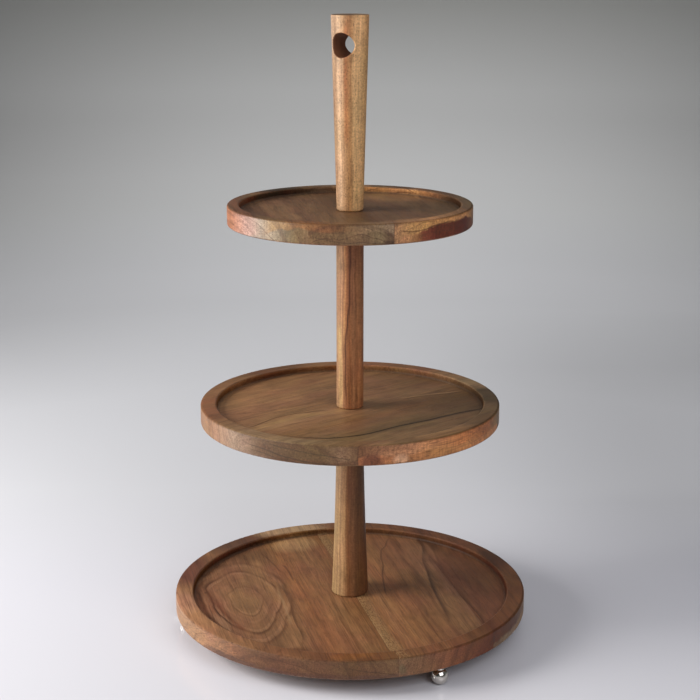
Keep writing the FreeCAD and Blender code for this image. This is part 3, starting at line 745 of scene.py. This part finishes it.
topTray = {
    "turn": (0, 0, -10.5), "shift": (0, 0, -431.5), "radii": (120, 108),
    "fade": [(-110, 1.5), (-86, 1.35), (-66, 1), (120, 1)],
    "patches": [("rim", (-58, 98), (42, 26), "#352a1c", 0.9),
                ("floor", (-60, 84), (26, 20), "#4a3524", 0.5)],
    "boards": [
        {"tones": [(-120, "#5f432c"), (-95, "#674b34"), (-82, "#7f5c40"), (-58, "#7f5f42")],
         "rim": [(-120, "#765640"), (-111, "#774e37"), (-103, "#664733"), (-91, "#75593b"),
                 (-74, "#845c3c"), (-58, "#7c5230")],
         "wall": [(-108, "#744e37"), (-101, "#6e4733"), (-93, "#66321f"), (-80, "#3c2d1e"),
                  (-58, "#372b1d")],
         "side": [(-120, "#a2694c"), (-111, "#ab8779"), (-105, "#ab8c7f"), (-98, "#9c8c7a"),
                  (-90, "#a3845c"), (-70, "#835c39"), (-58, "#805a35")],
         "under": {"edge": [(-120, -16), (-104, -12), (-94, -6), (-84, 0), (-70, 1), (-58, 1)],
                   "tones": [(-104, "#9c8e81"), (-92, "#9b8b74"), (-79, "#6b5b44"), (-70, "#75603f"),
                             (-58, "#6f573a")]},
         "pith": -160, "depth": 60, "speck": 0.16},
        {"tones": [(-58, "#7f5f42"), (10, "#624629"), (19, "#644830")],
         "rim": [(-58, "#7c5230"), (-9, "#765b3b"), (19, "#7e6246")],
         "wall": [(-58, "#372b1d"), (-46, "#43261c"), (-36, "#4a3626"), (-10, "#796148"), (19, "#85623e")],
         "side": [(-58, "#7f5934"), (-42, "#7f5734"), (-30, "#70512f"), (-5, "#907553"), (19, "#90785a")],
         "under": {"edge": [(-58, 1), (-36, 0), (-18, 0), (0, 1), (19, -5)],
                   "tones": [(-58, "#6c5536"), (-30, "#6c5537"), (-18, "#7a6140"), (-5, "#725b3e"),
                             (8, "#7e6849"), (19, "#6a4f36")]},
         "patches": [("side", (15, -11), (6, 3), "#4a3220", 0.8)],
         "drawn": [("side", [(-58, -6), (-30, -9), (0, -11), (19, -12)], (1, 0.8), "#4a3826", 0.6),
                   ("side", [(-12, 4), (0, 1), (10, -4), (19, -10)], (0.8, 0.8), "#4f3c28", 0.5)],
         "pith": -20, "depth": 90, "seams": [19], "speck": 0.2},
        {"tones": [(19, "#664b34"), (84, "#6c5137")],
         "rim": [(19, "#8e6a48"), (38, "#a37650"), (60, "#a77950"), (84, "#956c48")],
         "wall": [(19, "#956d44"), (48, "#a27044"), (73, "#b28452"), (84, "#a4784a")],
         "side": [(19, "#ae8359"), (50, "#c99659"), (84, "#c08653")],
         "under": {"edge": [(19, -12), (38, -5), (48, -3), (60, 0), (76, 1), (84, 1)],
                   "tones": [(19, "#a07450"), (34, "#ba8759"), (42, "#98663f"), (48, "#7c3f2a"),
                             (63, "#5c2714"), (84, "#5e2716")]},
         "patches": [("floor", (60, -82), (40, 26), "#ae8054", 0.9),
                     ("floor", (58, 72), (40, 34), "#8b6843", 0.9),
                     ("rim", (66, 94), (44, 26), "#4f3d28", 0.85)],
         "drawn": [("side", [(24, 1), (44, -2), (62, 1), (84, 3)], (0.9, 1.4), "#4a2614", 0.65)],
         "pith": 60, "depth": 80, "seams": [19], "speck": 0.24},
        {"tones": [(84, "#6c5137"), (120, "#5c4a30")],
         "rim": [(84, "#946a44"), (106, "#70543a"), (120, "#69573a")],
         "wall": [(84, "#9c7246"), (92, "#976b40"), (99, "#80583a"), (105, "#6a4e35"), (109, "#44301d")],
         "side": [(84, "#c08756"), (101, "#bf8a57"), (114, "#845f3d"), (120, "#7a5637")],
         "under": {"edge": [(84, 1), (101, 1), (110, -2), (120, -6)],
                   "tones": [(84, "#5e2716"), (99, "#4f2119"), (107, "#6e412d"), (120, "#784f32")]},
         "patches": [("rim", (100, 58), (22, 34), "#68482b", 0.8)], "pith": 140, "depth": 60,
         "speck": 0.2},
    ],
}


for name, tray in (("bottom_tray", bottomTray), ("middle_tray", middleTray), ("top_tray", topTray)):
    for number, board in enumerate(tray["boards"], 1):
        look = {**tray, **board, "patches": tray.get("patches", []) + board.get("patches", [])}
        title = f"acacia, {name.replace('_', ' ')} board {number}"
        dress(f"{name}_board_{number}", makeAcacia(title, look))
print("trays dressed")

turnedPost = {  # what the three posts share
    "turn": (-90, 0, 0), "wander": (1, 30, 90), "ripple": (0.6, 6, 30), "stray": 1, "ringWidth": 5,
    "mottle": 0.2, "ends": 0.5, "hue": 0.006,
}
lowerPost = {
    "shift": (0, -31.5, 0), "ripple": (0.5, 6, 30),
    "tones": [(-19, "#a3885e"), (-8, "#a8835a"), (-2, "#7c4f2e"), (3, "#7c5233"), (8, "#6b4728"),
              (19, "#684226")],
    "pith": -40, "depth": 10, "bands": 0.25, "lines": 0.2, "hairs": 0.2, "fibre": 0.2, "speck": 0.16,
    "drawn": [("all", [(20, -6), (90, -5), (187, -3)], (1.5, 1.5), "#b48e62", 0.4)],
}
middlePost = {
    "shift": (0, -231.5, 0),
    "tones": [(-14, "#9a795a"), (-8, "#a97d55"), (-3, "#9b6640"), (0, "#83502e"), (3, "#9a6640"),
              (7, "#a87046"), (14, "#8f5c38")],
    "pith": -36, "depth": 12, "bands": 0.28, "lines": 0.25, "hairs": 0.25, "fibre": 0.22, "speck": 0.18,
    "drawn": [("all", [(-5, -3.5), (50, -4.5), (90, -2), (120, 0), (190, -0.5)], (1.2, 2.2), "#4c2817",
               0.85),
              # a pale streak on the lower left: paler wood with painted highlight on it
              ("all", [(-5, -9.5), (50, -9.5), (90, -10)], (4, 3), "#c2a26c", 0.6),
              ("all", [(60, -7), (110, -5), (187, -5)], (1.5, 2), "#c8935f", 0.5),
              ("all", [(-5, 5), (60, 7), (120, 6), (187, 4)], (1, 2), "#6e3f24", 0.45)],
}
handle = {
    "shift": (0, -431.5, 0),
    "tones": [(-18, "#b0927a"), (-14, "#98785a"), (-11, "#bc9873"), (0, "#a5784b"), (5, "#d0a672"),
              (9, "#d2a875"), (18, "#ae8454")],
    "pith": -46, "depth": 10, "bands": 0.16, "lines": 0.1, "hairs": 0.15, "fibre": 0.18, "speck": 0.22,
    "poreWidth": 1.1, "poreLength": 3, "pores": 0.6, "ends": 0.45, "bore": (159, 11.5, 30), "hue": 0.005,
    "drawn": [("all", [(187, -2), (160, -4), (100, -3), (60, -3)], (3, 4), "#a4643a", 0.65),
              ("all", [(187, 2), (120, 1.5), (40, 2)], (1, 1.5), "#94673c", 0.4),
              # a pale streak down the left side: painted highlight
              ("all", [(130, -10), (60, -9), (0, -9)], (1.5, 1.5), "#d8b28a", 0.5)],
}

for name, post in (("lower_post", lowerPost), ("middle_post", middlePost), ("handle_post", handle)):
    dress(name, makeAcacia("acacia, " + name.replace("_", " "), {**turnedPost, **post}))
print("posts dressed")


# Metal: the two tints and roughnesses between which its patches vary, and its bump. "marks" and "patches"
# are blots per metre, along X, Y and Z: rings or wipe marks round Z, and dull spots.

metals = {
    # Nickel plate on brass balls: a warm grey mirror with a little haze and fine wipe marks.
    "polished nickel plate": {
        "nodes": ["ball_foot_front_right", "ball_foot_back_right", "ball_foot_left"],
        "tints": ("#cfcac2", "#dcd8d0"), "roughness": (0.06, 0.14), "bump": (0.04, 0.0001),
        "marks": (900, 900, 140), "patches": (900, 900, 140)},
    # Brass and zinc-plated steel from the lathe: their rings are a millimetre apart so that they show.
    "turned brass": {
        "nodes": ["threaded_inserts"],
        "tints": ("#b08d4e", "#c9a661"), "roughness": (0.22, 0.36), "bump": (0.15, 0.0002),
        "marks": (60, 60, 1000), "patches": (180, 180, 180)},
    "zinc-plated steel": {
        "nodes": ["joining_studs", "base_screw", "base_washer", "foot_screws"],
        "tints": ("#9c9fa3", "#b9bcbf"), "roughness": (0.28, 0.42), "bump": (0.15, 0.0002),
        "marks": (60, 60, 1000), "patches": (180, 180, 180)},
}


def makeMetal(name, metal):
    material, tree = newMaterial(name)
    place = addNode(tree, "TexCoord").outputs["Object"]
    noises = []
    for key in ("marks", "patches"):
        space = addNode(tree, "Mapping", {"Vector": place, "Scale": metal[key]})
        noises.append(addNode(tree, "TexNoise", {"Vector": space, "Scale": 1, "Detail": 3}))
    marks, patch = noises
    tint = addNode(tree, "Mix", [patch, *map(linear, metal["tints"])], data_type="RGBA")
    rough = addNode(tree, "MapRange", [patch, *spread, *metal["roughness"]])
    strength, height = metal["bump"]
    bump = addNode(tree, "Bump", {"Strength": strength, "Distance": height, "Height": marks})
    shader = addNode(tree, "BsdfPrincipled", {
        "Base Color": tint, "Metallic": 1, "Roughness": rough, "Normal": bump})
    addNode(tree, "OutputMaterial", [shader])
    return material


for name, metal in metals.items():
    finish = makeMetal(name, metal)
    for node in metal["nodes"]:
        dress(node, finish)
print("metal dressed")
